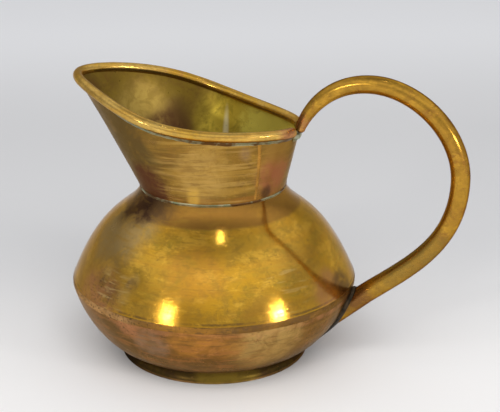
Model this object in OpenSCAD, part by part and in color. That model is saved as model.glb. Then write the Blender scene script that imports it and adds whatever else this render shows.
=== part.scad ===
// Brass pouring jug: squat creased belly, flared collar with a pouring lip, rolled rim and tubular loop handle.
// Millimetres, +Z up, the foot stands on Z = 0, the belly's axis is the Z axis, the handle points along +X.

/* [Sheet] */
// Thickness of the belly sheet
sheet = 1.0; // [0.6:0.1:1.6]
// Thickness of the collar sheet
collar_t = 0.9; // [0.6:0.1:1.4]
// Solder film left between lapped sheets
film = 0.05; // [0.02:0.01:0.15]

/* [Belly] */
// Radius of the belly at its crease, before the crease is rounded
belly_r = 71.2; // [60:0.1:85]
// Height of the crease
belly_z = 39.1; // [30:0.1:50]
// Rounding radius of the crease
crease_r = 5; // [3:0.5:8]
// Slope of the bowl where it reaches the crease, in degrees
bowl_slope = 75.5; // [60:0.25:85]
// Slope of the shoulder where it leaves the crease, in degrees
dome_slope = 112.5; // [100:0.5:125]
// Fullness of the shoulder above the crease
dome_full = 40; // [25:0.5:50]
// Height of the lap lip inside the shoulder
lap_h = 5; // [3:0.5:8]

/* [Base and foot] */
// Height of the bowl's underside inside the foot ring
base_z = 7; // [3:0.1:8]
// How far the middle of the base is pushed up
base_rise = 1.6; // [0:0.1:4]
// Radius where the bowl's wall springs from the base
base_r = 49.4; // [40:0.1:60]
// Outer radius of the foot ring on the table
foot_r = 47.4; // [38:0.1:55]
// Width of the foot ring's standing face
foot_face = 1.8; // [1:0.1:4]
// Depth of the cove round the foot ring
foot_cove = 1.1; // [0.5:0.1:2.5]

/* [Neck and collar] */
// Radius of the neck where the collar stands on the shoulder
neck_r = 35.0; // [28:0.1:45]
// Height of the collar's lower edge
neck_z = 87.3; // [75:0.1:100]
// Height of the shoulder's upstand inside the collar
upstand_h = 3; // [1.5:0.5:6]
// Plan angle of the foot of the collar's brazed seam, measured from the handle
seam_a = -39; // [-180:1:180]
// How far the seam leans toward the lip on its way up, in degrees
seam_lean = 13; // [-30:1:30]
// Width of the seam line
seam_w = 1.5; // [0.8:0.1:3]

/* [Rim] */
// Distance from the axis to the rim beside the handle
rim_back = 42.4; // [36:0.1:55]
// Distance from the axis to the tip of the pouring lip
rim_lip = 68.1; // [50:0.1:85]
// Half width of the rim across the jug
rim_side = 39.9; // [32:0.1:50]
// Height of the rim beside the handle
rim_back_z = 116.9; // [105:0.1:130]
// Height of the rim at the pouring lip
rim_lip_z = 138.0; // [120:0.1:155]
// Height of the rim at its sides
rim_side_z = 122.4; // [112:0.1:140]
// How far the rim's widest part sits toward the pouring lip
rim_egg = 4.1; // [0:0.1:8]
// How much narrower the rim is on the handle's side than on the lip's side
rim_taper = 6.5; // [0:0.1:10]
// How pinched the rim is between its sides and its ends
rim_pinch = 2.7; // [0:0.1:6]
// How blunt the two ends of the rim are
rim_blunt = 1.7; // [0:0.1:4]
// Outer radius of the rolled bead
bead_r = 2.5; // [1.8:0.1:4]
// Thickness of the bead's wall
bead_t = 0.8; // [0.5:0.1:1.2]
// Half of the gap in the bead at the handle, as an angle round the rim
bead_gap = 20; // [10:0.5:30]

/* [Handle] */
// Distance from the axis to the handle's tip on the rim
handle_tip_x = 43.5; // [38:0.1:55]
// Height of the handle's tip
handle_tip_z = 117.3; // [105:0.1:130]
// Angle at which the handle leaves the rim, in degrees
handle_rise = 71; // [50:1:90]
// Distance from the axis to the top of the loop
handle_top_x = 76.6; // [60:0.1:95]
// Height of the loop's centreline at its top
handle_top_z = 140.7; // [125:0.1:160]
// Distance from the axis to the loop's centreline at its outermost point
handle_out_x = 119.7; // [100:0.1:140]
// Height of the loop's outermost point
handle_out_z = 97.5; // [80:0.5:115]
// Distance from the axis to the handle's lower end on the belly
handle_end_x = 66.5; // [55:0.1:75]
// Height of the handle's lower end on the belly
handle_end_z = 27.3; // [18:0.1:40]
// Angle at which the handle meets the belly, in degrees
handle_fall = 44.3; // [30:0.1:60]
// Radius of the tube at its tip
handle_tip_r = 2.4; // [1.5:0.1:4]
// Radius of the tube over the grip
handle_grip_r = 4.5; // [3.5:0.1:6]
// Extra radius at the tube's lower end
handle_swell = 0.4; // [0:0.1:1]
// Thickness of the tube's wall
handle_t = 0.9; // [0.6:0.1:1.4]
// Gap filled with solder between the oblique cut and the belly
handle_gap = 1.5; // [0.5:0.1:3]

/* [Hidden] */
$fn = 180;
brass = [0.72, 0.55, 0.24];
brass_low = [0.60, 0.42, 0.20];
brass_collar = [0.74, 0.58, 0.32];
solder_gold = [0.78, 0.56, 0.30];
solder_dark = [0.30, 0.27, 0.18];
solder_green = [0.45, 0.48, 0.30];

bowl_n = 30;
dome_n = 34;
arc_n = 5;
rim_n = 132;
bead_n = 17;
tube_n = 24;
tube_steps = 20;
dome_fall = 115;
dome_end = 17.5;
bowl_end = 15;
foot_slope = 20;
foot_spring = 7.5;

// ---- small vector helpers ----
function dir(a) = [cos(a), sin(a)];
function unit(v) = v / norm(v);
function bez(p, t) =
    pow(1 - t, 3) * p[0] + 3 * t * pow(1 - t, 2) * p[1] + 3 * t * t * (1 - t) * p[2] + pow(t, 3) * p[3];
function step01(t) = let (u = min(max(t, 0), 1)) u * u * (3 - 2 * u);
function rev(l) = [for (i = [len(l) - 1 : -1 : 0]) l[i]];

// A profile moved sideways by d, to the left of its direction of travel
function tangent_at(l, i) = unit(l[min(i + 1, len(l) - 1)] - l[max(i - 1, 0)]);
function shift(l, d) = [for (i = [0 : len(l) - 1]) let (t = tangent_at(l, i)) l[i] + d * [-t[1], t[0]]];

// ---- the belly's outer profile, from the base up to the neck ----
crease = [belly_r, belly_z];
crease_turn = (dome_slope - bowl_slope) / 2;
crease_cut = crease_r * tan(crease_turn);
bowl_top = crease - crease_cut * dir(bowl_slope);
dome_foot = crease + crease_cut * dir(dome_slope);
crease_mid = bowl_top + crease_r * dir(bowl_slope + 90);
bowl_foot = [base_r, base_z + 0.2];
bowl_bez = [bowl_foot, bowl_foot + foot_spring * dir(foot_slope),
            bowl_top - bowl_end * dir(bowl_slope), bowl_top];
dome_top = [neck_r, neck_z];
dome_bez = [dome_foot, dome_foot + dome_full * dir(dome_slope),
            dome_top - dome_end * dir(dome_fall), dome_top];
bowl_line = [for (i = [0 : bowl_n]) bez(bowl_bez, i / bowl_n)];
arc_line = [for (i = [1 : arc_n - 1])
    crease_mid + crease_r * dir(bowl_slope - 90 + 2 * crease_turn * i / arc_n)];
dome_line = [for (i = [0 : dome_n]) bez(dome_bez, i / dome_n)];
body_line = concat(bowl_line, arc_line, dome_line);
body_table = [for (p = body_line) [p[1], p[0]]];
function body_r(z) = lookup(z, body_table);

// Indices that bound the lap lip: a short way below the crease, and lap_h above it
lap_low = bowl_n - 4;
lap_top = bowl_n + arc_n + max([for (i = [0 : dome_n]) dome_line[i][1] < belly_z + lap_h ? i : 0]);

// ---- the rim's centreline and the local frame along it ----
rim_a = (rim_back + rim_lip) / 2;
rim_x0 = (rim_back - rim_lip) / 2 + rim_egg + rim_blunt;
rim_b = rim_side - rim_pinch;
rim_curl = 0.4;
rim_mid_z = (rim_back_z + rim_lip_z) / 2;
rim_rise = (rim_lip_z - rim_back_z) / 2 + rim_curl;
function rim_at(t) = [
    rim_x0 + rim_a * cos(t) - rim_egg * cos(2 * t) - rim_blunt * cos(4 * t),
    rim_b * sin(t) - rim_taper * sin(2 * t) - rim_pinch * sin(3 * t) + 0.6 * sin(4 * t),
    (rim_mid_z + rim_side_z) / 2 + rim_curl * (1 - cos(4 * t)) - rim_rise * cos(t)
        + (rim_mid_z - rim_side_z) / 2 * cos(2 * t) + rim_curl * cos(3 * t)];
function neck_at(t, r) = [r * cos(t), r * sin(t), neck_z];
function rim_tan(t) = unit(rim_at(t + 0.5) - rim_at(t - 0.5));
function rim_down(t) = let (w = neck_at(t, neck_r + collar_t / 2) - rim_at(t), a = rim_tan(t))
    unit(w - (w * a) * a);
function rim_out(t) = cross(rim_down(t), rim_tan(t));
function rim_point(t, w, n) = rim_at(t) + w * rim_down(t) + n * rim_out(t);

// The collar's top edge dips under the handle's tip
notch_h = 2.7;
function edge_drop(t) = let (a = abs(t > 180 ? t - 360 : t))
    notch_h * (1 - step01((a - bead_gap * 0.72) / (bead_gap * 0.24)));
function edge_at(t, n) = rim_point(t, edge_drop(t), n);

// ---- the handle's centreline ----
h_tip = [handle_tip_x, handle_tip_z];
h_top = [handle_top_x, handle_top_z];
h_out = [handle_out_x, handle_out_z];
h_end = [handle_end_x, handle_end_z];
h_bez = [
    [h_tip, h_tip + 9.4 * dir(handle_rise), h_top - [20, 0], h_top],
    [h_top, h_top + [21, 0], h_out + [0, 23.4], h_out],
    [h_out, h_out - [0, 37.3], h_end + 30.2 * dir(handle_fall), h_end]];
last_t = 0.83;
h_line = concat(
    [for (i = [0 : tube_steps - 1]) bez(h_bez[0], i / tube_steps)],
    [for (i = [0 : tube_steps - 1]) bez(h_bez[1], i / tube_steps)],
    [for (i = [0 : tube_steps]) bez(h_bez[2], last_t * i / tube_steps)]);
h_run = [for (i = 0, s = 0; i < len(h_line);
    s = s + (i + 1 < len(h_line) ? norm(h_line[i + 1] - h_line[i]) : 0), i = i + 1) s];
h_len = h_run[len(h_run) - 1];
function tube_r(s) = handle_grip_r - (handle_grip_r - handle_tip_r) * exp(-s / 20)
    + handle_swell * step01((s - h_len + 55) / 55);

// A ring of the tube round the point c, square to the direction t
function tube_ring(c, t, r) = [for (k = [0 : tube_n - 1]) let (a = 360 * k / tube_n)
    [c[0] - t[1] * r * cos(a), r * sin(a), c[1] + t[0] * r * cos(a)]];
h_aim = unit(h_end - h_line[len(h_line) - 1]);

// Slides a point along the handle's end direction until it is g outside the belly
function outside(p, g) = norm([p[0], p[1]]) - body_r(p[2]) - g;
function slide(p, g, lo = 0, hi = 45, n = 26) = n == 0 ? p + (lo + hi) / 2 * [h_aim[0], 0, h_aim[1]]
    : let (m = (lo + hi) / 2, q = p + m * [h_aim[0], 0, h_aim[1]])
    outside(q, g) > 0 ? slide(p, g, m, hi, n - 1) : slide(p, g, lo, m, n - 1);
function end_ring(r, g) = [for (p = tube_ring(h_line[len(h_line) - 1], h_aim, r)) slide(p, g)];

// ---- solids from rings of points ----
// Side faces between successive rings of n points, closed round; a ring list that starts and ends on the
// same ring makes a closed tube
function strip(i, j, n) = [for (k = [0 : n - 1]) each [
    [i * n + k, i * n + (k + 1) % n, j * n + k],
    [i * n + (k + 1) % n, j * n + (k + 1) % n, j * n + k]]];
module ring_solid(rings, loop = false) {
    n = len(rings[0]);
    m = len(rings);
    sides = [for (i = [0 : m - 2]) each strip(i, i + 1, n)];
    ends = loop ? strip(m - 1, 0, n)
        : [[for (k = [n - 1 : -1 : 0]) k], [for (k = [0 : n - 1]) (m - 1) * n + k]];
    polyhedron(points = [for (r = rings) each r], faces = concat(sides, ends));
}

// ---- sub-parts ----
base_in = 46;
module lower_bowl() {
    dish = [for (i = [0 : 12]) let (r = base_in * i / 12)
        [r, base_z + base_rise * pow(cos(90 * i / 12), 2)]];
    wall_out = bowl_line;
    lip_out = shift([for (i = [bowl_n : lap_top]) body_line[i]], sheet + film);
    lip_in = shift([for (i = [lap_low : lap_top]) body_line[i]], 2 * sheet);
    wall_in = shift([for (i = [0 : lap_low - 3]) body_line[i]], sheet);
    floor_in = [for (p = dish) [p[0], p[1] + sheet]];
    color(brass_low)
        rotate_extrude()
            polygon(concat(dish, wall_out, lip_out, rev(lip_in), rev(wall_in), rev(floor_in)));
}

module shoulder_dome() {
    stand_r = neck_r - film;
    skin = dome_line;
    stand_out = [[stand_r, neck_z + 0.3], [stand_r, neck_z + upstand_h]];
    stand_in = [[stand_r - sheet, neck_z + upstand_h], [stand_r - sheet, neck_z + 0.1]];
    inner = shift([for (i = [0 : dome_n - 2]) dome_line[i]], sheet);
    color(brass)
        rotate_extrude()
            polygon(concat(skin, stand_out, stand_in, rev(inner)));
}

module belly_solder() {
    band = [for (i = [bowl_n : bowl_n + arc_n]) body_line[i]];
    color(solder_gold)
        rotate_extrude()
            polygon(concat(band, rev(shift(band, sheet + film))));
}

module foot_ring() {
    top_r = foot_r - 0.7;
    cove = [for (i = [0 : 10]) let (u = i / 10)
        [foot_r - 0.1 - foot_cove * pow(sin(180 * pow(u, 0.8)), 1.2) - 0.6 * u, 0.5 + (base_z - 0.5) * u]];
    inside_r = foot_r - 0.3 - foot_face;
    color(brass)
        rotate_extrude()
            polygon(concat([[inside_r, 0.2], [inside_r + 0.2, 0], [foot_r - 0.3, 0], [foot_r, 0.2]],
                cove, [[inside_r - 1.4, base_z], [inside_r - 1.4, 3]]));
}

module foot_solder() {
    low_r = foot_r - 0.7;
    color(solder_dark)
        rotate_extrude()
            polygon([[low_r, base_z], [low_r + 0.02, base_z - 0.05], [low_r + 0.5, base_z - 0.45],
                [low_r + 1.1, base_z - 0.15], [low_r + 1.3, base_z]]);
}

module collar() {
    steps = 156;
    ts = [for (i = [0 : steps - 1]) 360 * i / steps];
    color(brass_collar)
        ring_solid([
            [for (t = ts) neck_at(t, neck_r + collar_t)],
            [for (t = ts) edge_at(t, collar_t / 2)],
            [for (t = ts) edge_at(t, -collar_t / 2)],
            [for (t = ts) neck_at(t, neck_r)]], loop = true);
}

module collar_seam() {
    ks = [0.02, 0.3, 0.6, 0.885];
    function wall(t, k, d) = let (
        a = neck_at(t, neck_r + collar_t),
        b = edge_at(t, collar_t / 2)) a + k * (b - a) + d * rim_out(t);
    half_a = seam_w / 2 / neck_r * 57.3;
    color(solder_gold)
        ring_solid([for (k = ks) let (t = seam_a - k * seam_lean) [
            wall(t - half_a, k, 0.02), wall(t + half_a, k, 0.02),
            wall(t + half_a * 0.7, k, 0.3), wall(t - half_a * 0.7, k, 0.3)]]);
}

module neck_solder() {
    under = [dome_line[dome_n - 1], dome_line[dome_n]];
    color(solder_green)
        rotate_extrude()
            polygon(concat(under, [[neck_r + collar_t, neck_z], [neck_r + collar_t + 0.3, neck_z - 0.22],
                [under[0][0] + 0.12, under[0][1] + 0.25]]));
}

// One section of the bead: an open C that grips the collar's edge
function bead_section(t) = let (
    slit = collar_t / 2 + film,
    inner_r = bead_r - bead_t,
    a_out = asin(slit / bead_r),
    a_in = asin(slit / inner_r)) concat(
    [for (i = [0 : bead_n - 1]) let (a = a_out + (360 - 2 * a_out) * i / (bead_n - 1))
        rim_point(t, bead_r * cos(a), bead_r * sin(a))],
    [for (i = [bead_n - 5 : -1 : 0]) let (a = a_in + (360 - 2 * a_in) * i / (bead_n - 5))
        rim_point(t, inner_r * cos(a), inner_r * sin(a))]);
function rim_stop(i, n, gap) = gap + (360 - 2 * gap) * i / n;

module rim_roll() {
    color(brass_collar)
        ring_solid([for (i = [0 : rim_n]) bead_section(rim_stop(i, rim_n, bead_gap))]);
}

module rim_solder() {
    n0 = collar_t / 2 + 0.03;
    w0 = sqrt(bead_r * bead_r - n0 * n0) + 0.03;
    lap_a = 34;
    section = [[w0, n0], [(bead_r + 0.03) * cos(lap_a / 2), (bead_r + 0.03) * sin(lap_a / 2)],
        [(bead_r + 0.03) * cos(lap_a), (bead_r + 0.03) * sin(lap_a)], [w0 + 0.45, n0 + 0.45], [w0 + 1.2, n0]];
    color(solder_green)
        ring_solid([for (i = [0 : rim_n]) let (t = rim_stop(i, rim_n, bead_gap + 1))
            [for (p = section) rim_point(t, p[0], p[1])]]);
}

module handle_tube() {
    count = len(h_line);
    cap = [for (i = [1 : 5]) let (a = 18 * i)
        let (back = handle_tip_r * 0.75 * cos(a))
        tube_ring(h_tip - back * dir(handle_rise), dir(handle_rise), handle_tip_r * sin(a))];
    outer = [for (i = [1 : count - 1])
        tube_ring(h_line[i], tangent_at(h_line, i), tube_r(h_run[i]))];
    inner = [for (i = [count - 1 : -1 : 2])
        tube_ring(h_line[i], tangent_at(h_line, i), tube_r(h_run[i]) - handle_t)];
    low_r = tube_r(h_len);
    color(brass)
        ring_solid(concat(cap, outer, [end_ring(low_r, handle_gap)],
            [end_ring(low_r - handle_t, handle_gap)], inner));
}

module handle_lower_solder() {
    low_r = tube_r(h_len);
    color(solder_dark)
        ring_solid([end_ring(low_r, handle_gap), end_ring(low_r + 0.9, 0.35), end_ring(low_r + 0.9, 0.04),
            end_ring(low_r - handle_t, 0.04), end_ring(low_r - handle_t, handle_gap)], loop = true);
}

// A saddle over the collar's notched edge, from one cut end of the bead to the other
module handle_upper_solder() {
    half = collar_t / 2 + 0.03;
    steps = 16;
    ring = [for (i = [0 : steps]) let (
        t = bead_gap * (2 * i / steps - 1),
        tt = t < 0 ? t + 360 : t,
        mid = 1 - abs(t) / bead_gap,
        drop = edge_drop(tt) - 0.05,
        top = drop - 1.15 - 0.5 * (1 - mid),
        low = drop + 2.6,
        out = half + 1.1 + 0.7 * mid,
        in = half + 0.9)
        [rim_point(t, low, half), rim_point(t, low - 0.2, half + 0.3), rim_point(t, drop + 0.6, out),
         rim_point(t, top, out - 0.4), rim_point(t, top, 0.4 - in), rim_point(t, drop + 0.6, -in),
         rim_point(t, low - 0.8, -half - 0.2), rim_point(t, low - 0.7, -half),
         rim_point(t, drop, -half), rim_point(t, drop, half)]];
    color(solder_green)
        ring_solid(ring);
}

lower_bowl();
shoulder_dome();
belly_solder();
foot_ring();
foot_solder();
collar();
collar_seam();
neck_solder();
rim_roll();
rim_solder();
handle_tube();
handle_upper_solder();
handle_lower_solder();
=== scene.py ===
import math

import bpy
import numpy as np
from mathutils import Matrix, Vector, noise


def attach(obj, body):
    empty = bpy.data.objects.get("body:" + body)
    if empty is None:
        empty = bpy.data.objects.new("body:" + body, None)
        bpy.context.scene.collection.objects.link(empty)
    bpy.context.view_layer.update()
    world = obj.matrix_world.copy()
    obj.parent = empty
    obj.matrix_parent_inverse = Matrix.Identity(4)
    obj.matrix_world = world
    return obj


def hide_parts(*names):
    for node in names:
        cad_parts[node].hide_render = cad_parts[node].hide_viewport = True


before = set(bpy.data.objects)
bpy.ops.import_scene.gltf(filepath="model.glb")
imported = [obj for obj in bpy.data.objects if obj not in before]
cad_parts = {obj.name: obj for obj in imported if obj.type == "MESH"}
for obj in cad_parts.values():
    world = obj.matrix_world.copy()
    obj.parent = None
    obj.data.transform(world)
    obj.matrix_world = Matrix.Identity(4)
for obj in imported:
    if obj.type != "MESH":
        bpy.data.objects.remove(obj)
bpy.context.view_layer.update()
MM = 0.001
scene = bpy.context.scene

# ------------------------------------------------------------------ sizes (mm, degrees), as in the CAD part
SHEET, COLLAR_T, FILM = 1.0, 0.9, 0.05
BELLY_R, BELLY_Z, CREASE_R = 71.2, 39.1, 5.0
BOWL_SLOPE, DOME_SLOPE, DOME_FULL, LAP_H = 75.5, 112.5, 40.0, 5.0
BOWL_END, DOME_END, DOME_FALL = 15, 17.5, 115
BASE_Z, BASE_RISE, BASE_R, BASE_IN = 7.0, 1.6, 49.4, 46.0
FOOT_R, FOOT_FACE, FOOT_COVE = 47.4, 1.8, 1.1
FOOT_SPRING, FOOT_SLOPE = 7.5, 20
NECK_R, NECK_Z, UPSTAND_H = 35.0, 87.3, 3.0
RIM_BACK, RIM_LIP, RIM_SIDE = 42.4, 68.1, 39.9
RIM_BACK_Z, RIM_LIP_Z, RIM_SIDE_Z = 116.9, 138.0, 122.4
RIM_EGG, RIM_TAPER, RIM_PINCH, RIM_BLUNT, RIM_CURL, RIM_SKEW = 4.1, 6.5, 2.7, 1.7, 0.4, 0.6
BEAD_R, BEAD_T, BEAD_GAP = 2.5, 0.8, 20.0
NOTCH, NOTCH_FLAT, NOTCH_FADE = 2.7, 0.72, 0.24   # depth in mm, and two shares of the bead's gap
TIP, TOP, OUT, END = (43.5, 117.3), (76.6, 140.7), (119.7, 97.5), (66.5, 27.3)
HANDLE_RISE, HANDLE_FALL = 71, 44.3
TIP_PULL, TOP_PULL_IN, TOP_PULL_OUT = 9.4, 20, 21
OUT_PULL_UP, OUT_PULL_DOWN, END_PULL, LAST_T = 23.4, 37.3, 30.2, 0.83
TIP_R, GRIP_R, SWELL, TUBE_T, TUBE_GAP = 2.4, 4.5, 0.4, 0.9, 1.5
TAPER_RUN, SWELL_RUN = 20, 55
SEAM_A, SEAM_LEAN = -39.0, 13.0


# ------------------------------------------------------------------ curves
def direction(a):
    return np.array([math.cos(math.radians(a)), math.sin(math.radians(a))])


def bezier(p, t):
    p = [np.asarray(q, float) for q in p]
    t = np.asarray(t, float)[:, None]
    return (1 - t) ** 3 * p[0] + 3 * t * (1 - t) ** 2 * p[1] + 3 * t * t * (1 - t) * p[2] + t ** 3 * p[3]


def shifted(line, d):
    tan = np.gradient(line, axis=0)
    tan /= np.linalg.norm(tan, axis=1)[:, None]
    return line + d * np.c_[-tan[:, 1], tan[:, 0]]


def smooth(t):
    u = np.clip(t, 0, 1)
    return u * u * (3 - 2 * u)


crease_turn = (DOME_SLOPE - BOWL_SLOPE) / 2
crease = np.array([BELLY_R, BELLY_Z])
cut = CREASE_R * math.tan(math.radians(crease_turn))
bowl_top = crease - cut * direction(BOWL_SLOPE)
dome_foot = crease + cut * direction(DOME_SLOPE)
crease_mid = bowl_top + CREASE_R * direction(BOWL_SLOPE + 90)
bowl_foot = np.array([BASE_R, BASE_Z + 0.2])
dome_top = np.array([NECK_R, NECK_Z])


def dome_curve(t):
    return bezier([dome_foot, dome_foot + DOME_FULL * direction(DOME_SLOPE),
                   dome_top - DOME_END * direction(DOME_FALL), dome_top], t)


NB, NA, ND = 64, 14, 90        # steps along the bowl, the crease's arc and the dome
bowl_line = bezier([bowl_foot, bowl_foot + FOOT_SPRING * direction(FOOT_SLOPE),
                    bowl_top - BOWL_END * direction(BOWL_SLOPE), bowl_top], np.linspace(0, 1, NB + 1))
arc_line = np.array([crease_mid + CREASE_R * direction(BOWL_SLOPE - 90 + 2 * crease_turn * i / NA)
                     for i in range(1, NA)])
dome_line = dome_curve(np.linspace(0, 1, ND + 1))
body_line = np.vstack([bowl_line, arc_line, dome_line])


def body_r(z):
    return np.interp(z, body_line[:, 1], body_line[:, 0])


def rim_at(t):
    t = np.radians(np.asarray(t, float))
    a = (RIM_BACK + RIM_LIP) / 2
    x0 = (RIM_BACK - RIM_LIP) / 2 + RIM_EGG + RIM_BLUNT
    mid = (RIM_BACK_Z + RIM_LIP_Z) / 2
    rise = (RIM_LIP_Z - RIM_BACK_Z) / 2 + RIM_CURL
    return np.stack([
        x0 + a * np.cos(t) - RIM_EGG * np.cos(2 * t) - RIM_BLUNT * np.cos(4 * t),
        (RIM_SIDE - RIM_PINCH) * np.sin(t) - RIM_TAPER * np.sin(2 * t)
        - RIM_PINCH * np.sin(3 * t) + RIM_SKEW * np.sin(4 * t),
        (mid + RIM_SIDE_Z) / 2 + RIM_CURL * (1 - np.cos(4 * t)) - rise * np.cos(t)
        + (mid - RIM_SIDE_Z) / 2 * np.cos(2 * t) + RIM_CURL * np.cos(3 * t)], axis=-1)


def neck_at(t, r):
    t = np.radians(np.asarray(t, float))
    return np.stack([r * np.cos(t), r * np.sin(t), np.full_like(t, NECK_Z)], axis=-1)


def unit(v):
    return v / np.linalg.norm(v, axis=-1, keepdims=True)


def rim_frame(t):
    """Centre, way down the wall and way out of the wall, along the rim."""
    t = np.asarray(t, float)
    c = rim_at(t)
    tan = unit(rim_at(t + 0.5) - rim_at(t - 0.5))
    w = neck_at(t, NECK_R + COLLAR_T / 2) - c
    down = unit(w - (w * tan).sum(-1, keepdims=True) * tan)
    return c, down, np.cross(down, tan)


def edge_drop(t):
    """How far the collar's edge dips under the handle's tip."""
    a = np.abs(np.where(np.asarray(t) > 180, np.asarray(t) - 360, t))
    return NOTCH * (1 - smooth((a - BEAD_GAP * NOTCH_FLAT) / (BEAD_GAP * NOTCH_FADE)))


# ------------------------------------------------------------------ mesh helpers
def wobble(p, size, seed=0.0):
    """Smooth noise from -1 to 1 at a point in mm, with features of that size in mm."""
    return noise.noise(Vector((p[0] / size + seed, p[1] / size - seed, p[2] / size + 3.1 * seed)))


def add_mesh(name, verts, faces, mats, face_mats=None, sharp=38):
    me = bpy.data.meshes.new(name)
    me.from_pydata([tuple(v) for v in np.asarray(verts) * MM], [], faces)
    for m in mats:
        me.materials.append(m)
    if face_mats is not None:
        me.polygons.foreach_set("material_index", face_mats)
    me.polygons.foreach_set("use_smooth", [True] * len(me.polygons))
    me.validate()
    me.update()
    me.set_sharp_from_angle(angle=math.radians(sharp))
    ob = bpy.data.objects.new(name, me)
    scene.collection.objects.link(ob)
    return ob


def grid_faces(rows, cols, close_rows):
    """Faces between successive rings of points; each ring is closed."""
    out = []
    for i in range(rows if close_rows else rows - 1):
        j = (i + 1) % rows
        for k in range(cols):
            m = (k + 1) % cols
            out.append((i * cols + k, i * cols + m, j * cols + m, j * cols + k))
    return out


def lathe(name, profile, mats, segs=360, warp=None, zone=None):
    """A closed profile (r, z) turned round Z. Points on the axis are kept apart by a tiny radius."""
    prof = np.asarray(profile, float)
    ang = np.linspace(0, 2 * math.pi, segs, endpoint=False)
    n = len(prof)
    pts = np.zeros((segs, n, 3))
    for k, a in enumerate(ang):
        c, s = math.cos(a), math.sin(a)
        for i, (r, z) in enumerate(prof):
            dr, dz = warp(a, r, z) if warp else (0.0, 0.0)
            pts[k, i] = ((r + dr) * c, (r + dr) * s, z + dz)
    faces = grid_faces(segs, n, True)
    face_mats = None
    if zone is not None:
        face_mats = [zone(i % n) for i in range(len(faces))]
    return add_mesh(name, pts.reshape(-1, 3), faces, mats, face_mats)


def sweep(name, rings, mats, closed=False, sharp=38):
    """A solid from rings of points: capped at both ends, or closed on itself."""
    rings = np.asarray(rings, float)
    m, n = rings.shape[:2]
    faces = grid_faces(m, n, closed)
    if not closed:
        faces.append(tuple(range(n - 1, -1, -1)))
        faces.append(tuple((m - 1) * n + k for k in range(n)))
    return add_mesh(name, rings.reshape(-1, 3), faces, mats, sharp=sharp)


# ------------------------------------------------------------------ hand-made unevenness of the belly
FLAT_R = 30                    # inside this radius the base stays true
FADE_LOW, FADE_HIGH = 10, 8    # the unevenness fades out over this much height at the base and the neck
DENTS = [  # angle round the belly, height, size, depth
    (-125, 53, 4.6, 0.70), (-108, 54.5, 4.6, 0.75), (-117, 48, 2.6, 0.20), (-111, 47, 2.4, 0.20),
    (-121, 46, 2.2, 0.18), (-114, 50.5, 2.2, 0.16), (-91, 55, 2.6, 0.10), (-46, 53, 2.6, 0.06),
    (-35, 51, 6.0, 0.30), (-128, 66, 10.0, 0.30), (-96, 64, 12.0, 0.22), (-70, 58, 11.0, 0.20),
    (-20, 66, 9.0, 0.22), (20, 60, 8.0, 0.3), (75, 50, 9.0, 0.35), (128, 64, 10.0, 0.3),
    (170, 48, 8.0, 0.35), (-104, 26, 8.0, 0.25), (-52, 22, 9.0, 0.25), (40, 24, 8.0, 0.3),
    (145, 20, 9.0, 0.3)]


def belly_warp(a, r, z):
    if r < FLAT_R:
        return 0.0, 0.0
    c, s = math.cos(a), math.sin(a)
    p = (r * c, r * s, z)
    d = -0.16 + 0.16 * wobble(p, 30, 1.3) + 0.045 * wobble(p, 11, 5.1)
    deg = math.degrees(a)
    for da, dz, size, depth in DENTS:
        gap = (deg - da + 180) % 360 - 180
        q = ((math.radians(gap) * r) ** 2 + (z - dz) ** 2) / size ** 2
        if q < 6:
            d -= depth * math.exp(-q)
    fade = smooth((z - BASE_Z) / FADE_LOW) * smooth((NECK_Z - z) / FADE_HIGH)
    return float(d * fade), 0.0


def crease_warp(a, r, z):
    p = (r * math.cos(a), r * math.sin(a), z)
    return belly_warp(a, r, z)[0] + 0.09 * wobble(p, 3.2, 2.2) + 0.05, 0.30 * wobble(p, 9, 7.7)


# ------------------------------------------------------------------ materials
def material(name):
    m = bpy.data.materials.new(name)
    m.use_nodes = True
    tree = m.node_tree
    tree.nodes.clear()
    out = tree.nodes.new("ShaderNodeOutputMaterial")
    shader = tree.nodes.new("ShaderNodeBsdfPrincipled")
    tree.links.new(shader.outputs[0], out.inputs[0])
    return m, tree, shader


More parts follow.
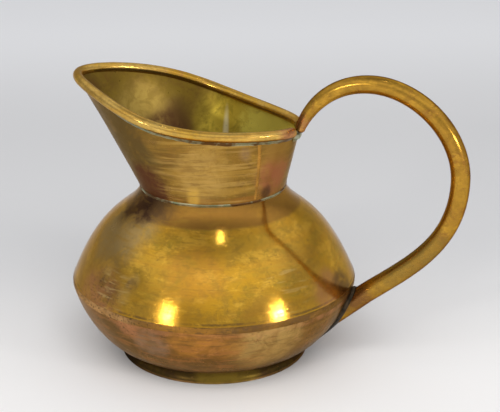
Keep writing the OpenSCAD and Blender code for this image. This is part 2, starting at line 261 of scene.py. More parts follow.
class Graph:
    """Short names for the nodes that the metals share. Positions are in metres, in the object's frame."""

    def __init__(self, tree):
        self.tree = tree
        self.pos = tree.nodes.new("ShaderNodeTexCoord").outputs["Object"]

    def node(self, kind, **inputs):
        n = self.tree.nodes.new(kind)
        for key, value in inputs.items():
            self.put(n.inputs[key.replace("_", " ")], value)
        return n

    def put(self, socket, value):
        if isinstance(value, bpy.types.NodeSocket):
            self.tree.links.new(value, socket)
        else:
            socket.default_value = value

    def scaled(self, stretch, turn=(0, 0, 0)):
        n = self.tree.nodes.new("ShaderNodeMapping")
        self.tree.links.new(self.pos, n.inputs["Vector"])
        n.inputs["Scale"].default_value = stretch
        n.inputs["Rotation"].default_value = turn
        return n.outputs[0]

    def noise(self, scale, detail=4.0, rough=0.55, warp=0.0, stretch=None, turn=(0, 0, 0)):
        n = self.node("ShaderNodeTexNoise", Scale=scale, Detail=detail, Roughness=rough, Distortion=warp)
        self.tree.links.new(self.scaled(stretch, turn) if stretch else self.pos, n.inputs["Vector"])
        return n.outputs["Fac"]

    def curve(self, value, lo, hi, a=0.0, b=1.0):
        n = self.tree.nodes.new("ShaderNodeMapRange")
        n.interpolation_type = "SMOOTHSTEP"
        self.put(n.inputs["Value"], value)
        for key, v in zip(("From Min", "From Max", "To Min", "To Max"), (lo, hi, a, b)):
            n.inputs[key].default_value = v
        return n.outputs[0]

    def math(self, op, a, b=0.0):
        n = self.tree.nodes.new("ShaderNodeMath")
        n.operation = op
        self.put(n.inputs[0], a)
        self.put(n.inputs[1], b)
        return n.outputs[0]

    def mix(self, fac, a, b):
        n = self.tree.nodes.new("ShaderNodeMix")
        n.data_type = "RGBA"
        self.put(n.inputs[0], fac)
        for sock, v in ((n.inputs[6], a), (n.inputs[7], b)):
            self.put(sock, v if isinstance(v, bpy.types.NodeSocket) else (*v, 1.0))
        return n.outputs[2]

    def axis(self, which):
        n = self.tree.nodes.new("ShaderNodeSeparateXYZ")
        self.tree.links.new(self.pos, n.inputs[0])
        return n.outputs[which]

    def paint(self, colour, mask, amount, tint):
        return self.mix(self.math("MULTIPLY", mask, amount), colour, tint)

    def spot(self, centre, size):
        """1 at a place in mm, falling to 0 at that distance in mm."""
        n = self.tree.nodes.new("ShaderNodeVectorMath")
        n.operation = "DISTANCE"
        self.tree.links.new(self.pos, n.inputs[0])
        n.inputs[1].default_value = [c * MM for c in centre]
        return self.curve(n.outputs["Value"], 0.0, size * MM, 1.0, 0.0)

    def column(self, x, y):
        """Distance from an upright line that stands at a place in mm."""
        n = self.node("ShaderNodeVectorMath")
        n.operation = "DISTANCE"
        flat = self.tree.nodes.new("ShaderNodeVectorMath")
        flat.operation = "MULTIPLY"
        self.tree.links.new(self.pos, flat.inputs[0])
        flat.inputs[1].default_value = (1, 1, 0)
        self.tree.links.new(flat.outputs[0], n.inputs[0])
        n.inputs[1].default_value = (x * MM, y * MM, 0)
        return n.outputs["Value"]

    def bump(self, height, strength, distance, under=None):
        n = self.tree.nodes.new("ShaderNodeBump")
        n.inputs["Strength"].default_value = strength
        n.inputs["Distance"].default_value = distance * MM
        self.tree.links.new(height, n.inputs["Height"])
        if under is not None:
            self.tree.links.new(under, n.inputs["Normal"])
        return n.outputs[0]


def linear(level):
    """An sRGB level from 0 to 255 as the linear value that a shader takes."""
    c = level / 255
    return c / 12.92 if c <= 0.04045 else ((c + 0.055) / 1.055) ** 2.4


GOLD = (0.585, 0.333, 0.038)
AMBER = (0.60, 0.285, 0.024)
PALE = (0.62, 0.40, 0.12)
OLIVE = (0.37, 0.245, 0.030)
BROWN = (0.31, 0.165, 0.032)
UMBER = (0.16, 0.085, 0.030)
DARK = (0.060, 0.036, 0.018)
COPPER = (0.47, 0.20, 0.085)
ORANGE = (0.62, 0.26, 0.040)
PINK = (0.42, 0.26, 0.165)
GREEN = (0.26, 0.30, 0.18)
SPOT_HAZE, TARNISH_HAZE = 0.04, 0.07     # how much a full spot (a stain or a painted light or shade) and full tarnish add to the roughness
MARK_FADE = 4                             # mm over which an upright mark fades out at each end


def brass(name, main, second, stain, rough=(0.16, 0.30), lines=0.0, scratch=0.25, stain_at=(0.55, 0.72),
          spots=(), bands=(), pits=0.0, specks=0.5, streaks=0.0, scale=1.0, metal=0.94,
          coat=0.08, marks=(), streak=AMBER, edge=(0.78, 0.64, 0.46), flecks=()):
    """Handled brass: broad tints, tarnish clouds, specks, local stains, turning lines and scratches, and
    painted highlights, shade and reflections in some bands, spots and marks.

    Places and sizes are in mm. The lists hold:
    bands: (height, half width, tint, amount, evenness)
    spots: (centre, size, tint, amount)
    marks: ((x, y), half width, (low, high), tint, amount)
    flecks: (centre, size, grain scale, stretch, span, tint, amount)
    """
    m, tree, shader = material(name)
    shader.inputs["Metallic"].default_value = metal
    shader.inputs["Coat Weight"].default_value = coat
    shader.inputs["Coat Roughness"].default_value = 0.10
    shader.inputs["Specular Tint"].default_value = (*edge, 1)
    g = Graph(tree)
    broad = g.noise(20 * scale, 4, 0.62, 0.8)
    cloud = g.noise(52 * scale, 7, 0.70, 1.0)
    fine = g.noise(210 * scale, 6, 0.66, 0.4)
    tarnish = g.curve(cloud, *stain_at)
    shade = tuple(0.62 * a + 0.15 * b for a, b in zip(main, BROWN))
    colour = g.mix(g.curve(broad, 0.36, 0.64), main, second)
    colour = g.paint(colour, tarnish, 0.85, stain)
    colour = g.paint(colour, g.curve(fine, 0.46, 0.64), 0.7, shade)
    grain = g.noise(70, 6, 0.75, 0.2, stretch=(1.0, 1.0, 2.2), turn=(0.2, 0.3, 0.0))
    colour = g.paint(colour, g.curve(grain, 0.52, 0.62), 0.6, tuple(1.45 * c for c in main))
    if streaks:
        lines_at = g.noise(110, 5, 0.6, 0.0, stretch=(0.10, 0.10, 3.5))
        colour = g.paint(colour, g.curve(lines_at, 0.46, 0.62), streaks, streak)
    ragged = g.curve(g.noise(120, 6, 0.72, 0.6), 0.34, 0.60)
    for height, half, tint, amount, even in bands:
        near = g.math("ABSOLUTE", g.math("SUBTRACT", g.axis(2), height * MM))
        band = g.curve(near, half * (0.4 + 0.4 * even) * MM, half * MM, 1.0, 0.0)
        patchy = g.curve(ragged, 0, 1, even, 1.0)
        colour = g.paint(colour, g.math("MULTIPLY", band, patchy), amount, tint)
    haze = 0.0
    for centre, size, tint, amount in spots:
        cloudy = g.math("MULTIPLY", g.spot(centre, size), g.curve(cloud, 0.2, 0.75, 0.55, 1.45))
        patch = g.math("MULTIPLY", g.curve(cloudy, 0.05, 0.75), g.curve(ragged, 0, 1, 0.55, 1.0))
        colour = g.paint(colour, patch, amount, tint)
        haze = g.math("ADD", g.math("MULTIPLY", patch, SPOT_HAZE * amount), haze)
    for (x, y), half, (low, high), tint, amount in marks:
        wide = g.curve(g.column(x, y), half * 0.3 * MM, half * MM, 1.0, 0.0)
        above = g.curve(g.axis(2), low * MM, (low + MARK_FADE) * MM)
        below = g.curve(g.axis(2), (high - MARK_FADE) * MM, high * MM, 1.0, 0.0)
        tall = g.math("MULTIPLY", above, below)
        colour = g.paint(colour, g.math("MULTIPLY", wide, tall), amount, tint)
    for centre, size, grain_at, stretch, span, tint, amount in flecks:
        fleck = g.curve(g.noise(grain_at, 3, 0.55, 0.3, stretch=stretch), *span)
        near = g.curve(g.spot(centre, size), 0.0, 0.45)
        colour = g.paint(colour, g.math("MULTIPLY", fleck, near), amount, tint)
    dots = g.curve(g.noise(900, 3, 0.6), 0.64, 0.74)
    colour = g.paint(colour, dots, specks, UMBER)
    g.put(shader.inputs["Base Color"], colour)
    dull = g.math("ADD", g.curve(fine, 0.25, 0.75, *rough), g.math("MULTIPLY", tarnish, TARNISH_HAZE))
    g.put(shader.inputs["Roughness"], g.math("ADD", dull, haze))
    turned = g.noise(240, 5, 0.62, 0.0, stretch=(0.10, 0.10, 8.0))
    n = g.bump(turned, 0.16 + lines, 0.05)
    tilt = g.noise(150, 4, 0.65, 0.3, stretch=(1.0, 1.0, 6.0), turn=(0.9, 0.5, 0.3))
    n = g.bump(g.curve(tilt, 0.52, 0.62), scratch, 0.03, n)
    if pits:
        n = g.bump(g.curve(g.noise(560, 3, 0.55), 0.34, 0.48), pits, 0.12, n)
    n = g.bump(g.noise(190, 4, 0.6), 0.16, 0.06, n)
    n = g.bump(g.noise(60, 3, 0.5), 0.26, 0.16, n)
    g.put(shader.inputs["Normal"], n)
    g.put(shader.inputs["Coat Normal"], n)
    return m


def solder(name, main, tarnish, rough, metal, amount=(0.35, 0.62), gold=None):
    """Cast metal with a grainy skin: two mottled tints and, where gold is given, patches of a third."""
    m, tree, shader = material(name)
    g = Graph(tree)
    colour = g.mix(g.curve(g.noise(170, 6, 0.7, 0.6), *amount), main, tarnish)
    if gold:
        colour = g.mix(g.curve(g.noise(60, 4, 0.6, 0.6), 0.46, 0.56), colour, gold)
    g.put(shader.inputs["Base Color"], colour)
    shader.inputs["Metallic"].default_value = metal
    g.put(shader.inputs["Roughness"], g.curve(g.noise(400, 4, 0.6), 0.3, 0.7, rough - 0.1, rough + 0.15))
    n = g.bump(g.noise(420, 4, 0.6), 0.5, 0.18)
    g.put(shader.inputs["Normal"], n)
    return m


FINE = (1, 1, 1)               # stretches of a fleck's grain: even, brushed round the jug, or in between
BRUSHED = (0.3, 0.3, 3.2)
TURNED = (0.35, 0.35, 2.6)

DOME_M = brass(
    "BrassDome", GOLD, (0.60, 0.32, 0.020), OLIVE, rough=(0.09, 0.18), stain_at=(0.48, 0.70), streaks=0.3,
    bands=[
        # painted shade: a dark line just above the crease, for the shade of a groove at the dome's foot
        (41.7, 0.7, UMBER, 0.8, 0.0),
        (44.5, 4.0, BROWN, 0.3, 0.0),
        # painted reflection: a dark band with a ragged lower edge below the neck, for the collar's
        # reflection; it also dims the high lamp's second highlight
        (83.0, 6.5, (0.30, 0.14, 0.025), 0.9, 0.9)],
    spots=[
        ((-46, -43, 56), 38, BROWN, 0.8),
        ((-41, -58, 43), 26, COPPER, 0.7),
        ((-32, -37, 72), 30, (0.42, 0.29, 0.12), 0.7),
        ((-27, -25, 85), 25, (0.075, 0.030, 0.014), 1.15),
        ((-20, -32, 84), 14, (0.05, 0.02, 0.01), 0.9),
        ((-14, -36, 83), 12, UMBER, 0.8),
        # painted light: pale rims (highlights) and dark centres (shade) over the dents and ripples on the
        # left
        ((-37, -53, 55), 6, PALE, 0.6),
        ((-38, -54, 52), 6, UMBER, 0.8),
        ((-20, -61, 56.5), 6, PALE, 0.6),
        ((-21, -61.5, 54), 6, UMBER, 0.8),
        ((-31, -60, 48), 9, UMBER, 0.5),
        ((-24, -63, 49), 7, PALE, 0.45),
        ((50, -25, 66), 28, BROWN, 0.3),
        ((10, -58, 62), 24, ORANGE, 0.4),
        ((2, -70, 42), 22, (0.44, 0.22, 0.02), 0.7),
        ((44, -55, 42), 20, (0.48, 0.24, 0.03), 0.6),
        ((66, -22, 46), 18, COPPER, 0.6),
        ((69, -10, 44), 14, UMBER, 0.9)],
    flecks=[
        # painted highlights: pale streaks over the ripples on the left and over a dent on the right
        ((-31, -59, 49), 15, 230, BRUSHED, (0.53, 0.62), (0.78, 0.55, 0.22), 0.40),
        ((50, -42, 53), 16, 230, BRUSHED, (0.54, 0.62), (0.78, 0.55, 0.20), 0.30),
        ((-38, -54, 41), 20, 950, FINE, (0.58, 0.66), DARK, 0.7),
        ((-10, -56, 60), 54, 260, (0.4, 0.4, 2.5), (0.54, 0.66), (0.38, 0.21, 0.03), 0.45)])

BOWL_M = brass(
    "BrassBowl", (0.120, 0.061, 0.018), (0.21, 0.095, 0.017), COPPER, rough=(0.24, 0.37), scale=1.3,
    stain_at=(0.50, 0.70), specks=0.7, metal=0.88, streaks=0.35, coat=0.05, streak=(0.36, 0.19, 0.04),
    bands=[(12, 8, UMBER, 0.6, 0.3), (36.5, 2.6, COPPER, 0.5, 0.0)],
    spots=[
        ((10, -68, 31), 17, ORANGE, 0.6),
        ((-10, -66, 27), 15, PINK, 0.45),
        ((-35, -52, 28), 30, UMBER, 0.6),
        ((-42, -48, 26), 22, PINK, 0.3),
        ((42, -50, 28), 28, PALE, 0.65),
        ((-20, -62, 36), 12, COPPER, 0.8),
        ((25, -62, 30), 16, ORANGE, 0.4),
        ((66, -6, 30), 14, UMBER, 0.8)],
    flecks=[
        ((-30, -60, 37), 22, 950, FINE, (0.57, 0.65), DARK, 0.8),
        ((0, -66, 28), 60, 220, TURNED, (0.50, 0.62), (0.42, 0.17, 0.05), 0.45),
        ((30, -60, 26), 44, 260, TURNED, (0.52, 0.64), (0.09, 0.05, 0.02), 0.35)])

INNER_M = brass(
    "BrassInside", (0.135, 0.080, 0.009), (0.20, 0.125, 0.012), (0.12, 0.05, 0.012), rough=(0.26, 0.38),
    stain_at=(0.46, 0.68), lines=0.2, metal=0.70, coat=0.0,
    # painted reflections: light and dark patches on the inside wall
    spots=[
        ((-42, 20, 110), 32, (0.36, 0.24, 0.05), 1.0),
        ((4, 36, 106), 36, (0.70, 0.52, 0.06), 1.3),
        ((26, 24, 104), 40, (1.0, 0.86, 0.15), 1.9),
        ((-34, 26, 100), 24, (0.07, 0.030, 0.01), 1.0)],
    marks=[
        # painted highlight: a thin bright upright line on the far inside wall
        ((-5, 37), 2.2, (96, 120), (1.0, 0.90, 0.50), 1.0),
        # painted reflection: a broad dark upright band on the inside wall
        ((-28, 29), 10, (84, 122), (0.08, 0.035, 0.01), 0.8)])

COLLAR_M = brass(
    "BrassCollar", (0.25, 0.142, 0.022), (0.24, 0.118, 0.018), (0.16, 0.085, 0.02), rough=(0.24, 0.37),
    lines=0.5, stain_at=(0.47, 0.66), streaks=0.5, metal=0.9, coat=0.04, streak=(0.46, 0.26, 0.045),
    bands=[(88.6, 2.0, (0.30, 0.12, 0.02), 0.6, 0.2)],
    spots=[
        ((35.5, -14, 98), 17, (0.36, 0.13, 0.05), 1.1),
        ((38, -15, 111), 14, BROWN, 0.8),
        ((-46, -34, 106), 56, (0.135, 0.082, 0.022), 1.2),
        ((-22, -30, 91), 20, (0.11, 0.035, 0.015), 1.5),
        ((33, -18, 90), 6, DARK, 0.7),
        # painted sheen: a pale patch on the front of the collar
        ((8, -42, 103), 24, (0.52, 0.32, 0.08), 0.7),
        ((27, -30, 111), 8, PINK, 0.5)],
    # painted highlight: a pale upright streak low on the front of the collar
    marks=[((2, -36), 4.0, (84, 97), (0.7, 0.42, 0.07), 0.6)],
    flecks=[
        # painted sheen: the first fleck's pale streaks at the front; the second fleck's dark streaks are the
        # sheet's own
        ((10, -42, 102), 40, 260, (0.2, 0.2, 2.6), (0.48, 0.64), (0.60, 0.37, 0.10), 0.34),
        ((-10, -42, 98), 34, 300, (0.25, 0.25, 2.2), (0.50, 0.64), (0.15, 0.07, 0.02), 0.35)])

# Brass of the foot; its very dark tints are painted shade round the foot as well as the metal's own colour
FOOT_M = brass(
    "BrassFoot", (0.050, 0.032, 0.008), (0.070, 0.040, 0.010), (0.04, 0.02, 0.01), rough=(0.24, 0.38),
    coat=0.0, edge=(0.3, 0.25, 0.16), specks=0.9, stain_at=(0.42, 0.66), scale=1.4,
    # painted shade: the top band under the bowl's overhang and the bottom band along the floor
    bands=[(6.2, 2.0, DARK, 1.0, 0.5), (0.4, 0.7, UMBER, 0.9, 0.5)],
    spots=[
        # painted shadow: the dark spot behind on the left; the olive spot is the metal's own
        ((-38, -28, 4), 26, (0.03, 0.02, 0.01), 1.1),
        ((20, -44, 2), 24, OLIVE, 0.4)])

RIM_M = brass(
    "BrassRim", (0.62, 0.40, 0.10), GOLD, COPPER, rough=(0.15, 0.26), stain_at=(0.58, 0.78), scale=1.8,
    streaks=0.4, metal=0.92,
    spots=[
        ((38, -9, 117), 12, COPPER, 0.9),
        ((-62, -40, 122), 34, BROWN, 0.9)])

HANDLE_M = brass(
    "BrassHandle", (0.47, 0.255, 0.030), (0.42, 0.215, 0.028), (0.28, 0.12, 0.026), rough=(0.17, 0.27),
    stain_at=(0.48, 0.68), scale=1.6, scratch=0.15, edge=(0.30, 0.20, 0.12),
    spots=[
        ((44, 0, 117), 12, COPPER, 0.7),
        # painted shade: this spot and the DARK spot at the tube's lower end darken the tube where it meets
        # the belly
        ((74, 0, 35), 16, (0.24, 0.11, 0.03), 1.0),
        ((100, 0, 56), 34, (0.30, 0.18, 0.035), 0.9),
        ((68, 0, 32), 9, DARK, 1.0)])

SEAM_M = brass(
    "BrazeCrease", (0.24, 0.118, 0.026), (0.20, 0.10, 0.024), UMBER, rough=(0.26, 0.40), coat=0.05,
    stain_at=(0.46, 0.60), pits=1.0, scale=2.4, specks=1.0,
    spots=[
        ((-41, -58, 40), 40, (0.56, 0.31, 0.12), 0.85),
        ((8, -70, 40), 26, (0.42, 0.19, 0.03), 0.8)],
    flecks=[
        ((-34, -60, 40), 40, 950, FINE, (0.54, 0.64), DARK, 0.9),
        ((20, -66, 40), 50, 420, (0.5, 0.5, 1.5), (0.56, 0.62), UMBER, 0.7)])

WELD_M = brass("BrazeCollar", (0.34, 0.165, 0.030), (0.44, 0.21, 0.03), BROWN, rough=(0.22, 0.34),
               stain_at=(0.55, 0.75))
GREEN_M = solder("SolderVerdigris", (0.44, 0.42, 0.26), GREEN, 0.42, 0.85, (0.40, 0.60), UMBER)
BLOB_M = solder("SolderBlob", (0.46, 0.46, 0.30), (0.20, 0.22, 0.13), 0.40, 0.85, (0.42, 0.62))
# dark solder on the foot's and the handle's lower joints; its near-black tints are partly painted shade in
# those joints
DARK_M = solder("SolderDark", (0.075, 0.05, 0.028), (0.022, 0.018, 0.012), 0.5, 0.9)


# ------------------------------------------------------------------ pieces
def place(ob, node):
    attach(ob, "root")
    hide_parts(node)


N_ARC_END = NB + NA            # index of dome_line[0] in body_line
lap_low = NB - 8               # the lap lip starts a short way below the crease
lap_top = N_ARC_END + int(np.sum(dome_line[:, 1] < BELLY_Z + LAP_H)) - 1
dish_r = np.linspace(0.02, BASE_IN, 26)
dish = np.c_[dish_r, BASE_Z + BASE_RISE * np.cos(np.pi / 2 * dish_r / BASE_IN) ** 2]
lip_out = shifted(body_line[NB:lap_top + 1], SHEET + FILM)
lip_in = shifted(body_line[lap_low:lap_top + 1], 2 * SHEET)
wall_in = shifted(body_line[:lap_low - 5], SHEET)
bowl_prof = np.vstack([dish, bowl_line, lip_out, lip_in[::-1], wall_in[::-1], dish[::-1] + [0, SHEET]])
inside_from = len(dish) + len(bowl_line)
place(lathe("BowlSheet", bowl_prof, [BOWL_M, INNER_M], warp=belly_warp,
            zone=lambda i: 1 if i >= inside_from else 0), "lower_bowl")

stand = NECK_R - FILM
dome_in = shifted(dome_line[:-3], SHEET)
dome_prof = np.vstack([dome_line, [[stand, NECK_Z + 0.3], [stand, NECK_Z + UPSTAND_H],
                                   [stand - SHEET, NECK_Z + UPSTAND_H], [stand - SHEET, NECK_Z + 0.1]],
                       dome_in[::-1]])
place(lathe("DomeSheet", dome_prof, [DOME_M, INNER_M], warp=belly_warp,
            zone=lambda i: 1 if i > ND + 1 else 0), "shoulder_dome")

band = body_line[NB:N_ARC_END + 1]
seam_prof = np.vstack([band, shifted(band, SHEET + FILM)[::-1]])
place(lathe("CreaseBraze", seam_prof, [SEAM_M], segs=540, warp=crease_warp), "belly_solder")

u = np.linspace(0, 1, 22)
cove_r = FOOT_R - 0.1 - FOOT_COVE * np.sin(np.pi * u ** 0.8) ** 1.2 - 0.6 * u
cove = np.c_[cove_r, 0.5 + (BASE_Z - 0.5) * u]
inside_r = FOOT_R - 0.3 - FOOT_FACE
foot_prof = np.vstack([[[inside_r, 0.2], [inside_r + 0.2, 0], [FOOT_R - 0.3, 0], [FOOT_R - 0.06, 0.08],
                        [FOOT_R, 0.25]], cove, [[inside_r - 1.4, BASE_Z], [inside_r - 1.4, 3]]])
place(lathe("FootBand", foot_prof, [FOOT_M]), "foot_ring")

low = FOOT_R - 0.7
fillet_prof = [[low, BASE_Z], [low + 0.02, BASE_Z - 0.05], [low + 0.25, BASE_Z - 0.36],
               [low + 0.5, BASE_Z - 0.42], [low + 1.1, BASE_Z - 0.15], [low + 1.3, BASE_Z]]
place(lathe("FootFillet", fillet_prof, [DARK_M]), "foot_solder")

NECK_STEP = 1 / 34             # the fillet covers this last share of the dome's curve
under = dome_curve(np.linspace(1 - NECK_STEP, 1, 6))
wall = NECK_R + COLLAR_T
neck_prof = np.vstack([under, [[wall, NECK_Z], [wall + 0.2, NECK_Z - 0.08], [wall + 0.3, NECK_Z - 0.22],
                               [wall + 0.16, NECK_Z - 0.6], [under[0][0] + 0.12, under[0][1] + 0.25]]])


def neck_warp(a, r, z):
    p = (r * math.cos(a), r * math.sin(a), z)
    if z >= NECK_Z - 0.05:     # hidden under the collar
        return 0.0, 0.0
    return 0.16 * wobble(p, 5, 4.4), 0.18 * wobble(p, 8, 9.1) - 0.1


place(lathe("NeckFillet", neck_prof, [GREEN_M], warp=neck_warp), "neck_solder")

# collar: one bent sheet, ruled from the neck circle to the rim
cols, rows = 480, 48
ts = np.linspace(0, 360, cols, endpoint=False)
c, down, out = rim_frame(ts)
edge = c + edge_drop(ts)[:, None] * down
out_low, in_low = neck_at(ts, NECK_R + COLLAR_T), neck_at(ts, NECK_R)
out_top, in_top = edge + out * COLLAR_T / 2, edge - out * COLLAR_T / 2
share = np.linspace(0, 1, rows)[None, :, None]
outer = out_low[:, None] * (1 - share) + out_top[:, None] * share
inner = in_low[:, None] * (1 - share) + in_top[:, None] * share
sheet = np.concatenate([outer, inner[:, ::-1]], axis=1)
for i in range(cols):
    for j in range(sheet.shape[1]):
        h = min(j, 2 * rows - 1 - j) / rows
        p = sheet[i, j]
        fade = float(smooth(h * 4) * smooth((1 - h) * 5))
        d = (0.22 * wobble(p, 26, 3.3) + 0.07 * wobble(p, 9, 8.8)) * fade
        sheet[i, j] = p + d * out[i]
faces = grid_faces(cols, 2 * rows, True)
inside = [1 if rows - 1 <= i % (2 * rows) < 2 * rows - 1 else 0 for i in range(len(faces))]
place(add_mesh("CollarSheet", sheet.reshape(-1, 3), faces, [COLLAR_M, INNER_M], inside),
      "collar")


# collar seam: a thin braze line lying on the sheet
def wall_point(t, k, d):
    c, down, out = rim_frame(np.array([t]))
    top = c + edge_drop(t) * down + out * COLLAR_T / 2
    low = neck_at(np.array([t]), NECK_R + COLLAR_T)
    return (low + k * (top - low) + d * out)[0]


SEAM_TURN = 1.23               # half the seam's width, in degrees round the rim
SEAM_SECTION = ((-1, -0.12), (1, -0.12), (1, 0.03), (0.75, 0.2),
                (0.3, 0.3), (-0.3, 0.3), (-0.75, 0.2), (-1, 0.03))
rings = []
for k in np.linspace(0.02, 0.885, 46):
    t = SEAM_A - k * SEAM_LEAN
    wide = SEAM_TURN * (1 + 0.25 * noise.noise(Vector((k * 9, 0.3, 0.7))))
    rings.append([wall_point(t + wide * a, k, d) for a, d in SEAM_SECTION])
place(sweep("CollarSeam", rings, [WELD_M]), "collar_seam")


# rolled rim: an open C that grips the collar's edge
def bead_rings(stops, n_out=36, n_in=22):
    """Rings of the bead: its outer wall with a little unevenness, then its smooth inner wall."""
    slit, r_in = COLLAR_T / 2 + FILM, BEAD_R - BEAD_T
    a0, a1 = math.asin(slit / BEAD_R), math.asin(slit / r_in)
    outline = [(BEAD_R * math.cos(a), BEAD_R * math.sin(a)) for a in np.linspace(a0, 2 * math.pi - a0, n_out)]
    outline += [(r_in * math.cos(a), r_in * math.sin(a)) for a in np.linspace(2 * math.pi - a1, a1, n_in)]
    c, down, out = rim_frame(stops)
    rings = []
    for i in range(len(stops)):
        ring = []
        for j, (w, n) in enumerate(outline):
            p = c[i] + w * down[i] + n * out[i]
            s = 1.0 - (0.022 * (1 + wobble(p, 7, 6.1)) if j < n_out else 0.0)
            ring.append(c[i] + (w * down[i] + n * out[i]) * s)
        rings.append(ring)
    return rings


place(sweep("RimRoll", bead_rings(np.linspace(BEAD_GAP, 360 - BEAD_GAP, 620)), [RIM_M], sharp=50),
      "rim_roll")

n0 = COLLAR_T / 2 + 0.03
w0 = math.sqrt(BEAD_R ** 2 - n0 ** 2) + 0.03
lap = [((BEAD_R + 0.03) * math.cos(math.radians(a)), (BEAD_R + 0.03) * math.sin(math.radians(a)))
       for a in (17, 26, 34)]
section = [(w0, n0 - 0.2)] + lap + [(w0 + 0.25, n0 + 0.62), (w0 + 0.55, n0 + 0.36), (w0 + 0.85, n0 + 0.16),
                                    (w0 + 1.2, n0 + 0.02), (w0 + 1.2, n0 - 0.2)]
stops = np.linspace(BEAD_GAP + 1, 359 - BEAD_GAP, 620)
c, down, out = rim_frame(stops)
rings = []
for i in range(len(stops)):
    base = c[i] + w0 * down[i]
    s = 1 + 0.35 * wobble(base, 3.2, 2.9)
    ring = []
    for j, (w, n) in enumerate(section):
        if j >= 4:             # the first four points lie against the bead and stay
            w = w0 + (w - w0) * s
            n = n if n < n0 else n0 + (n - n0) * s
        ring.append(c[i] + w * down[i] + n * out[i])
    rings.append(ring)
place(sweep("RimFillet", rings, [GREEN_M]), "rim_solder")

# handle: a tapered tube on a smooth loop
tip, top, outer_pt, end = (np.array(p) for p in (TIP, TOP, OUT, END))
line = np.vstack([
    bezier([tip, tip + TIP_PULL * direction(HANDLE_RISE), top - [TOP_PULL_IN, 0], top],
           np.linspace(0, 1, 71)[:-1]),
    bezier([top, top + [TOP_PULL_OUT, 0], outer_pt + [0, OUT_PULL_UP], outer_pt],
           np.linspace(0, 1, 81)[:-1]),
    bezier([outer_pt, outer_pt - [0, OUT_PULL_DOWN], end + END_PULL * direction(HANDLE_FALL), end],
           np.linspace(0, LAST_T, 101))])
run = np.r_[0, np.cumsum(np.linalg.norm(np.diff(line, axis=0), axis=1))]
length = run[-1]
tans = np.gradient(line, axis=0)
tans /= np.linalg.norm(tans, axis=1)[:, None]
TUBE_N = 48


def tube_r(s):
    swell = SWELL * smooth((s - length + SWELL_RUN) / SWELL_RUN)
    return GRIP_R - (GRIP_R - TIP_R) * np.exp(-s / TAPER_RUN) + swell


def tube_ring(c, t, r):
    """A ring of the tube round the point c, square to the direction t."""
    a = np.linspace(0, 2 * math.pi, TUBE_N, endpoint=False)
    return np.c_[c[0] - t[1] * r * np.cos(a), r * np.sin(a), c[1] + t[0] * r * np.cos(a)]


aim = unit(end - line[-1])
onward = np.array([aim[0], 0, aim[1]])


def slide(points, gap):
    """Slides points along the handle's end direction until they are that far outside the belly."""
    out = []
    for p in points:
        lo, hi = 0.0, 45.0
        for _ in range(30):
            mid = (lo + hi) / 2
            q = p + mid * onward
            if math.hypot(q[0], q[1]) - body_r(q[2]) - gap > 0:
                lo = mid
            else:
                hi = mid
        out.append(p + (lo + hi) / 2 * onward)
    return np.array(out)


def end_ring(r, gap, toe=0.0):
    """The tube's oblique end; a toe pushes the lower side of the ring out by that many mm."""
    points = tube_ring(line[-1], aim, r)
    centre = points.mean(axis=0)
    away = (points - centre) / r
    low_side = np.clip(-away[:, 2], 0, 1) ** 1.5
    return slide(points + away * (toe * low_side)[:, None], gap)


TIP_CAP = 0.75                 # how far the closed tip bulges, as a share of its radius
rise = direction(HANDLE_RISE)
rings = []
for a in np.radians(np.linspace(6, 84, 9)):
    rings.append(tube_ring(tip - TIP_R * TIP_CAP * math.cos(a) * rise, rise, TIP_R * math.sin(a)))
for i in range(1, len(line)):
    here = (line[i][0], 0, line[i][1])
    rings.append(tube_ring(line[i], tans[i], tube_r(run[i]) * (1 - 0.008 * (1 + wobble(here, 16, 4.2)))))
low_r = float(tube_r(length))
cut_out, cut_in = end_ring(low_r, TUBE_GAP), end_ring(low_r - TUBE_T, TUBE_GAP)
rings += [rings[-1] + 0.5 * (cut_out - rings[-1]), cut_out, cut_in]
for i in range(len(line) - 1, 5, -3):
    rings.append(tube_ring(line[i], tans[i], tube_r(run[i]) - TUBE_T))
place(sweep("HandleTube", rings, [HANDLE_M]), "handle_tube")

# each loop of the fillet: how far past the tube's radius, gap to the belly, toe
FILLET = ((0.28, 1.9, 0.1), (0.65, 1.4, 0.25), (1.1, 0.8, 0.4), (1.3, -0.1, 0.5))
loops = [cut_out]
loops += [end_ring(low_r + past, gap, toe) for past, gap, toe in FILLET]
loops += [end_ring(low_r - TUBE_T, -0.1), cut_in]
place(sweep("HandleLowerFillet", loops, [DARK_M], closed=True), "handle_lower_solder")

# solder saddle over the notched edge, between the bead's cut ends
half = COLLAR_T / 2 + 0.03
rings = []
for t in np.linspace(-BEAD_GAP, BEAD_GAP, 41):
    c, down, out = (v[0] for v in rim_frame(np.array([t % 360])))
    mid = 1 - abs(t) / BEAD_GAP
    drop = float(edge_drop(t % 360)) - 0.05
    top_w = drop - 1.15 - 0.5 * (1 - mid) + 0.12 * noise.noise(Vector((t * 0.21, 1.7, 0.2)))
    low_w = drop + 2.6
    far = half + 1.1 + 0.7 * mid + 0.12 * noise.noise(Vector((t * 0.17, 0.4, 2.2)))
    near = half + 0.9
    outline = [(low_w, half), (low_w - 0.2, half + 0.3), (drop + 1.4, far - 0.3), (drop + 0.6, far),
               (drop - 0.4, far - 0.05), (top_w + 0.2, far - 0.4), (top_w, far - 0.9),
               (top_w, 0.9 - near), (top_w + 0.3, 0.3 - near), (drop + 0.6, -near),
               (low_w - 0.8, -half - 0.2), (low_w - 0.7, -half), (drop, -half), (drop, half)]
    rings.append([c + w * down + n * out for w, n in outline])
place(sweep("HandleUpperSaddle", rings, [BLOB_M]), "handle_upper_solder")


# ------------------------------------------------------------------ stage, light and camera
TURN = math.radians(18)        # the main view is turned this far round the jug


def seen(x, y, z):
    """A place given as right, away and up for the main view, in mm."""
    return Vector((x * math.cos(TURN) - y * math.sin(TURN), x * math.sin(TURN) + y * math.cos(TURN), z)) * MM


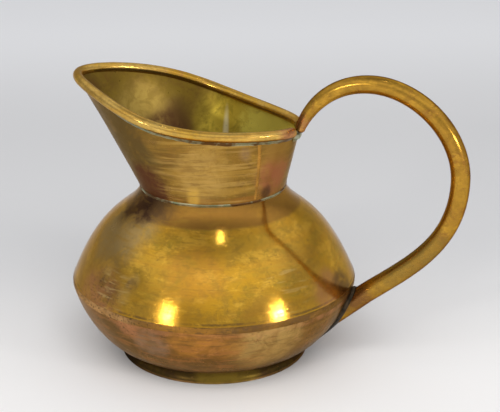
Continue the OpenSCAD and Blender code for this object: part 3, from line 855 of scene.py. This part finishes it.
bpy.ops.mesh.primitive_grid_add(x_subdivisions=8, y_subdivisions=8, size=9)
floor = bpy.context.object
floor.name = "Floor"
floor_paint, floor_tree, floor_shader = material("FloorPale")
floor_shader.inputs["Metallic"].default_value = 0.0
floor_shader.inputs["Roughness"].default_value = 0.9
floor_graph = Graph(floor_tree)
away = floor_graph.node("ShaderNodeVectorMath")
away.operation = "DOT_PRODUCT"
floor_graph.put(away.inputs[0], floor_graph.pos)
away.inputs[1].default_value = (-math.sin(TURN), math.cos(TURN), 0)
# painted shading: the floor is darker just behind the jug and pale bluish far beyond it
behind = floor_graph.curve(away.outputs["Value"], -0.06, 0.16)
beyond = floor_graph.curve(away.outputs["Value"], 0.36, 0.85)
floor_shading = floor_graph.mix(behind, (0.87, 0.863, 0.856), (0.67, 0.672, 0.678))
floor_graph.put(floor_shader.inputs["Base Color"], floor_graph.mix(beyond, floor_shading, (0.86, 0.868, 0.882)))
floor.data.materials.append(floor_paint)

AIM_AT = seen(0, 0, 60)


def softbox(name, at, size, power, colour=(1, 1, 1)):
    """A rectangular area light at a place right, away and up, with its size in mm, aimed at the jug."""
    d = bpy.data.lights.new(name, "AREA")
    d.shape = "RECTANGLE"
    d.size, d.size_y = size[0] * MM, size[1] * MM
    d.energy = power
    d.color = colour
    ob = bpy.data.objects.new(name, d)
    ob.location = seen(*at)
    ob.rotation_euler = (AIM_AT - ob.location).to_track_quat("-Z", "Y").to_euler()
    scene.collection.objects.link(ob)
    return ob


WARM = (1, 0.98, 0.94)
fill = softbox("FrontTop", (0, -1000, 1250), (1300, 900), 11)
fill.visible_glossy = False
softbox("FrontLeft", (-750, -960, 490), (150, 22), 1.9, WARM)
softbox("FrontRight", (950, -790, 440), (160, 22), 2.1, WARM)
softbox("LampHigh", (105, -175, 1300), (34, 34), 0.16)

# the camera sees a plain pale backdrop; the metals see a studio that is brighter in front than behind
BACKDROP = (216, 219, 223)
FROM_RIGHT, FROM_FRONT = 0.25, 0.95
LEVELS = ((0.0, 0.76), (0.17, 0.60), (0.38, 0.44), (0.58, 0.85), (0.74, 1.0), (0.92, 0.55), (1.0, 0.34))
world = bpy.data.worlds.new("Studio")
scene.world = world
world.use_nodes = True
sky = world.node_tree
sky.nodes.clear()
sky_out = sky.nodes.new("ShaderNodeOutputWorld")
path = sky.nodes.new("ShaderNodeLightPath")
see = sky.nodes.new("ShaderNodeBackground")
see.inputs[0].default_value = (*map(linear, BACKDROP), 1)
lit = sky.nodes.new("ShaderNodeBackground")
coord = sky.nodes.new("ShaderNodeTexCoord")
split = sky.nodes.new("ShaderNodeSeparateXYZ")
sky.links.new(coord.outputs["Generated"], split.inputs[0])
ramp = sky.nodes.new("ShaderNodeValToRGB")
sky.links.new(split.outputs[2], ramp.inputs[0])
for pos, v in LEVELS[1:-1]:
    ramp.color_ramp.elements.new(pos)
for e, (pos, v) in zip(ramp.color_ramp.elements, LEVELS):
    e.position = pos
    e.color = (v, v, v * 1.02, 1)
sky.links.new(ramp.outputs[0], lit.inputs[0])
side = sky.nodes.new("ShaderNodeVectorMath")
side.operation = "DOT_PRODUCT"
sky.links.new(coord.outputs["Generated"], side.inputs[0])
side.inputs[1].default_value = (FROM_RIGHT * math.cos(TURN) + FROM_FRONT * math.sin(TURN),
                                FROM_RIGHT * math.sin(TURN) - FROM_FRONT * math.cos(TURN), 0)
tone = sky.nodes.new("ShaderNodeMapRange")
sky.links.new(side.outputs["Value"], tone.inputs["Value"])
for key, v in (("From Min", -1.0), ("From Max", 1.0), ("To Min", 0.68), ("To Max", 1.22)):
    tone.inputs[key].default_value = v
sky.links.new(tone.outputs[0], lit.inputs[1])
sky_mix = sky.nodes.new("ShaderNodeMixShader")
sky.links.new(path.outputs["Is Camera Ray"], sky_mix.inputs[0])
sky.links.new(lit.outputs[0], sky_mix.inputs[1])
sky.links.new(see.outputs[0], sky_mix.inputs[2])
sky.links.new(sky_mix.outputs[0], sky_out.inputs[0])

scene.view_settings.view_transform = "Standard"

# The camera's distance (mm), height angle and lens (mm) come from the jug's own foreshortening
DIST, ELEV, ROLL, LENS = 600.0, math.radians(20.547), math.radians(-0.517), 86.4
SHIFT = (0.07285, 0.05389)     # shares of the frame's width, for the photo's framing
cam_data = bpy.data.cameras.new("Camera")
cam_data.sensor_width = 36.0
cam_data.lens = LENS
cam_data.clip_start, cam_data.clip_end = 0.01, 30
cam = bpy.data.objects.new("Camera", cam_data)
scene.collection.objects.link(cam)
scene.camera = cam
cam.location = seen(0, -DIST * math.cos(ELEV), 60 + DIST * math.sin(ELEV))
look = (AIM_AT - cam.location).to_track_quat("-Z", "Y").to_matrix()
cam.rotation_euler = (look @ Matrix.Rotation(ROLL, 3, "Z")).to_euler()
cam_data.shift_x, cam_data.shift_y = SHIFT
